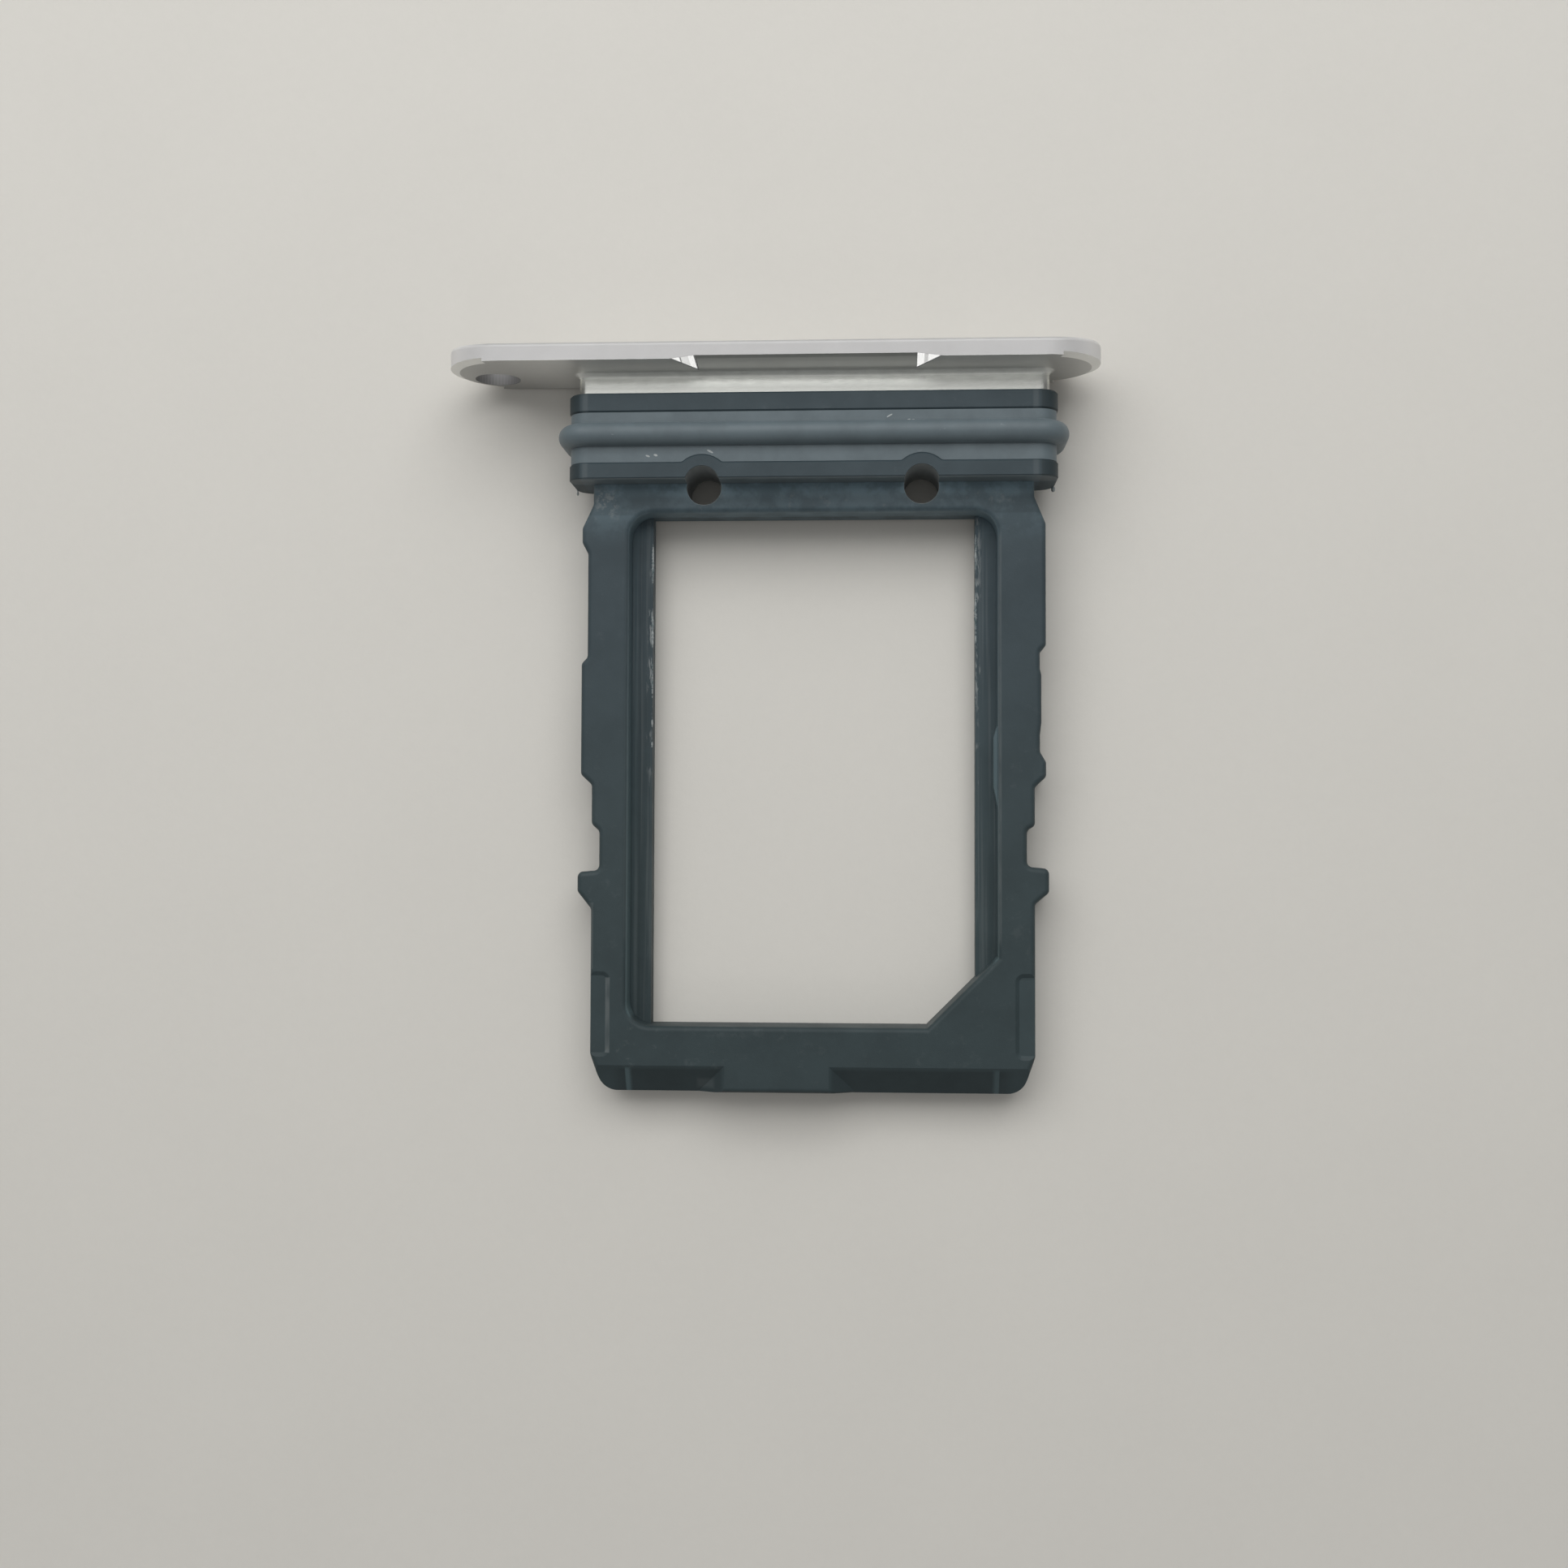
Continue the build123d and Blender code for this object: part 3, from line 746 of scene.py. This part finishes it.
def fleck_tree():
    """Flat flecks on the points of a mesh, each turned and sized by chance."""
    tree, given, result = geometry_tree(
        "flecks", [("Points", GEOMETRY), ("Length", FLOAT), ("Seed", INTEGER), ("Finish", MATERIAL)]
    )
    flake = add(tree, "GeometryNodeMeshIcoSphere", {"Radius": 0.5, "Subdivisions": 2}).outputs[0]
    turn = add(
        tree,
        "FunctionNodeRandomValue",
        {0: (0, 0, -0.6), 1: (0, 0, 0.6), "Seed": given["Seed"]},
        data_type="FLOAT_VECTOR",
    ).outputs[0]
    size = add(
        tree,
        "FunctionNodeRandomValue",
        {0: (0.5, 0.22, 0.1), 1: (1.3, 0.45, 0.2), "Seed": given["Seed"]},
        data_type="FLOAT_VECTOR",
    ).outputs[0]
    scale = add(tree, "ShaderNodeVectorMath", {0: size}, operation="SCALE")
    tree.links.new(given["Length"], scale.inputs["Scale"])
    placed = add(
        tree,
        "GeometryNodeInstanceOnPoints",
        {"Points": given["Points"], "Instance": flake, "Rotation": turn, "Scale": scale.outputs[0]},
    ).outputs[0]
    finish_tree(tree, placed, given["Finish"], result)
    return tree


def polyline(paths):
    """Mesh of open polylines through the given points."""
    mesh = bpy.data.meshes.new("path")
    points = [point for path in paths for point in path]
    edges = []
    first = 0
    for path in paths:
        edges += [(i, i + 1) for i in range(first, first + len(path) - 1)]
        first += len(path)
    mesh.from_pydata(points, edges, [])
    return mesh


def grow(name, mesh, tree, **inputs):
    """Run a geometry tree over a mesh and keep the result as a plain piece at the origin."""
    seed = bpy.data.objects.new(name + "_path", mesh)
    bpy.context.scene.collection.objects.link(seed)
    modifier = seed.modifiers.new("grow", "NODES")
    modifier.node_group = tree
    for item in tree.interface.items_tree:
        label = item.name.replace(" ", "_")
        if item.in_out == "INPUT" and label in inputs:
            modifier[item.identifier] = inputs[label]
    bpy.context.view_layer.update()
    evaluated = seed.evaluated_get(bpy.context.evaluated_depsgraph_get())
    grown = bpy.data.meshes.new_from_object(evaluated)
    bpy.data.objects.remove(seed)
    bpy.data.meshes.remove(mesh)
    piece = bpy.data.objects.new(name, grown)
    grown.name = name
    bpy.context.scene.collection.objects.link(piece)
    if not grown.polygons:
        raise RuntimeError(name + " came out empty")
    return piece


def dress(node, material):
    """Give a node of the part its finish."""
    part = frame["nodes"][node]
    for slot in part.material_slots:
        slot.material = material


class TRAY_OT_face_plate(Operator):
    """Finish the face plate in satin and bare aluminium"""

    bl_idname = "tray.face_plate"
    bl_label = "Face Plate"

    def execute(self, context):
        dress("face_plate", plate_metal(context.scene.tray_colours))
        return {"FINISHED"}


class TRAY_OT_tray_frame(Operator):
    """Finish the frame and collar in charcoal plastic"""

    bl_idname = "tray.tray_frame"
    bl_label = "Tray Frame"

    def execute(self, context):
        scene = context.scene
        dress("tray_frame", charcoal_moulding(scene.tray_colours, scene.tray_sizes))
        return {"FINISHED"}


class TRAY_OT_seal_ring(Operator):
    """Finish the seal in slate silicone"""

    bl_idname = "tray.seal_ring"
    bl_label = "Seal Ring"

    def execute(self, context):
        dress("seal_ring", slate_silicone(context.scene.tray_colours))
        return {"FINISHED"}


class TRAY_OT_burrs(Operator):
    """Make the torn ledge edges and the collar's moulding flash"""

    bl_idname = "tray.burrs"
    bl_label = "Burrs and Flash"

    def execute(self, context):
        scene = context.scene
        sizes = scene.tray_sizes
        finish = torn_plastic(scene.tray_colours)
        tree = ragged_edge_tree()
        inset = 0.012 * MM
        near = WINDOW_HEAD - 0.4 * MM
        far = WINDOW_HEAD - 5.6 * MM
        ledges = []
        for side in (-1, 1):
            x = side * (sizes.ledge_edge + inset)
            z = LEDGE_TOP - inset
            ledges.append([(x, near, z), (x, far, z)])
        burrs = grow(
            "ledge_burrs",
            polyline(ledges),
            tree,
            Spacing=sizes.burr_spacing,
            Reach=sizes.burr_reach,
            Patch_scale=900.0,
            Bare_share=0.46,
            Seed=sizes.seed,
            Finish=finish,
        )
        spikes = []
        for side in (-1, 1):
            spike = [(5.82, -2.6, -0.45), (5.85, -2.74, -0.5), (5.86, -2.84, -0.55)]
            spikes.append([(side * x * MM, y * MM, z * MM) for x, y, z in spike])
        flash = grow(
            "collar_flash",
            polyline(spikes),
            tree,
            Spacing=sizes.burr_spacing,
            Reach=sizes.flash_reach,
            Patch_scale=2500.0,
            Bare_share=0.3,
            Seed=sizes.seed,
            Finish=finish,
        )
        for piece in (burrs, flash):
            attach(piece, "root")
        return {"FINISHED"}


class TRAY_OT_flecks(Operator):
    """Lay the pale flecks on the seal"""

    bl_idname = "tray.flecks"
    bl_label = "Seal Flecks"

    def execute(self, context):
        scene = context.scene
        sizes = scene.tray_sizes
        top = 0.92 * MM
        spots = [(-3.93, -2.19), (-3.74, -2.17), (-2.43, -2.09), (1.86, -1.27), (2.28, -1.39), (2.4, -1.39)]
        points = polyline([[(x * MM, y * MM, top)] for x, y in spots])
        flecks = grow(
            "seal_flecks",
            points,
            fleck_tree(),
            Length=sizes.fleck_length,
            Seed=sizes.seed,
            Finish=pale_lint(scene.tray_colours),
        )
        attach(flecks, "root")
        return {"FINISHED"}


def rest_plane():
    """Lowest point of the seal, and how far the surface under the tray rises per metre towards its tip."""
    foot = min((vertex.co for vertex in frame["nodes"]["seal_ring"].data.vertices), key=lambda co: co.z)
    beyond = [v.co for v in frame["nodes"]["tray_frame"].data.vertices if v.co.y < SEAL_LOW.y]
    return foot.copy(), min((co.z - foot.z) / (foot.y - co.y) for co in beyond)


def soft_lamp(name, place, width, depth, power):
    """Area lamp turned to the middle of the tray."""
    lamp = bpy.data.lights.new(name, "AREA")
    lamp.shape = "RECTANGLE"
    lamp.size = width
    lamp.size_y = depth
    lamp.energy = power
    lit = bpy.data.objects.new(name, lamp)
    bpy.context.scene.collection.objects.link(lit)
    lit.location = place
    aim = Vector((0, (TRAY_LOW.y + PLATE_HIGH.y) / 2, 0)) - lit.location
    lit.rotation_euler = aim.to_track_quat("-Z", "Y").to_euler()
    lit.visible_camera = False


class TRAY_OT_stage(Operator):
    """Set up the floor, the light and the camera"""

    bl_idname = "tray.stage"
    bl_label = "Stage"

    def execute(self, context):
        scene = context.scene
        stage = scene.tray_stage
        colours = scene.tray_colours

        # The floor leans by the small angle at which seal and tip both touch it
        foot, rise = rest_plane()
        half = stage.floor_width / 2
        corners = [(-half, -half), (half, -half), (half, half), (-half, half)]
        mesh = bpy.data.meshes.new("floor")
        mesh.from_pydata([(x, y, foot.z + (foot.y - y) * rise) for x, y in corners], [], [(0, 1, 2, 3)])
        mesh.materials.append(table_top(colours))
        floor = bpy.data.objects.new("floor", mesh)
        scene.collection.objects.link(floor)

        soft_lamp("key", stage.key_place, stage.key_width, stage.key_depth, stage.key_power)
        soft_lamp("low", stage.low_place, stage.low_width, stage.low_depth, stage.low_power)
        soft_lamp("fill", stage.fill_place, stage.fill_width, stage.fill_width, stage.fill_power)

        world = bpy.data.worlds.new("sky")
        world.use_nodes = True
        tree = world.node_tree
        sky = tree.nodes["Background"]
        height = axes(tree, add(tree, "ShaderNodeTexCoord").outputs["Generated"])[2]
        zenith = maths(tree, "POWER", maths(tree, "MAXIMUM", height, 0.0), stage.sky_focus)
        level = add(tree, "ShaderNodeMapRange", {0: zenith, 3: stage.sky_edge, 4: stage.sky_top}).outputs[0]
        sky.inputs["Color"].default_value = rgba(colours.sky)
        tree.links.new(level, sky.inputs["Strength"])
        scene.world = world

        lens = bpy.data.cameras.new("camera")
        lens.lens = stage.lens
        lens.clip_start = 1 * MM
        lens.clip_end = 10.0
        camera = bpy.data.objects.new("camera", lens)
        scene.collection.objects.link(camera)
        camera.location = stage.eye
        camera.rotation_mode = "ZYX"
        camera.rotation_euler = Euler(stage.turn, "ZYX")
        scene.camera = camera
        scene.view_settings.view_transform = "Standard"
        return {"FINISHED"}


PIECE_OPERATORS = (
    TRAY_OT_face_plate,
    TRAY_OT_tray_frame,
    TRAY_OT_seal_ring,
    TRAY_OT_burrs,
    TRAY_OT_flecks,
    TRAY_OT_stage,
)


class TRAY_PT_panel(Panel):
    """Lists the tray's pieces, its settings and its stage"""

    bl_idname = "TRAY_PT_panel"
    bl_label = "Card Tray"
    bl_space_type = "VIEW_3D"
    bl_region_type = "UI"
    bl_category = "Card Tray"

    def draw(self, context):
        for group in (context.scene.tray_colours, context.scene.tray_sizes, context.scene.tray_stage):
            section = self.layout.box()
            for name in group.__annotations__:
                section.prop(group, name)
        for operator in PIECE_OPERATORS:
            self.layout.operator(operator.bl_idname)


CLASSES = (TrayColours, TraySizes, StageSettings, *PIECE_OPERATORS, TRAY_PT_panel)


def register():
    """Add the classes and their settings."""
    for item in CLASSES:
        bpy.utils.register_class(item)
    bpy.types.Scene.tray_colours = PointerProperty(type=TrayColours)
    bpy.types.Scene.tray_sizes = PointerProperty(type=TraySizes)
    bpy.types.Scene.tray_stage = PointerProperty(type=StageSettings)


def unregister():
    """Take the classes and their settings away."""
    del bpy.types.Scene.tray_stage
    del bpy.types.Scene.tray_sizes
    del bpy.types.Scene.tray_colours
    for item in reversed(CLASSES):
        bpy.utils.unregister_class(item)


def main():
    register()
    bpy.ops.tray.face_plate()
    bpy.ops.tray.tray_frame()
    bpy.ops.tray.seal_ring()
    bpy.ops.tray.burrs()
    bpy.ops.tray.flecks()
    bpy.ops.tray.stage()


if __name__ == "__main__":
    main()
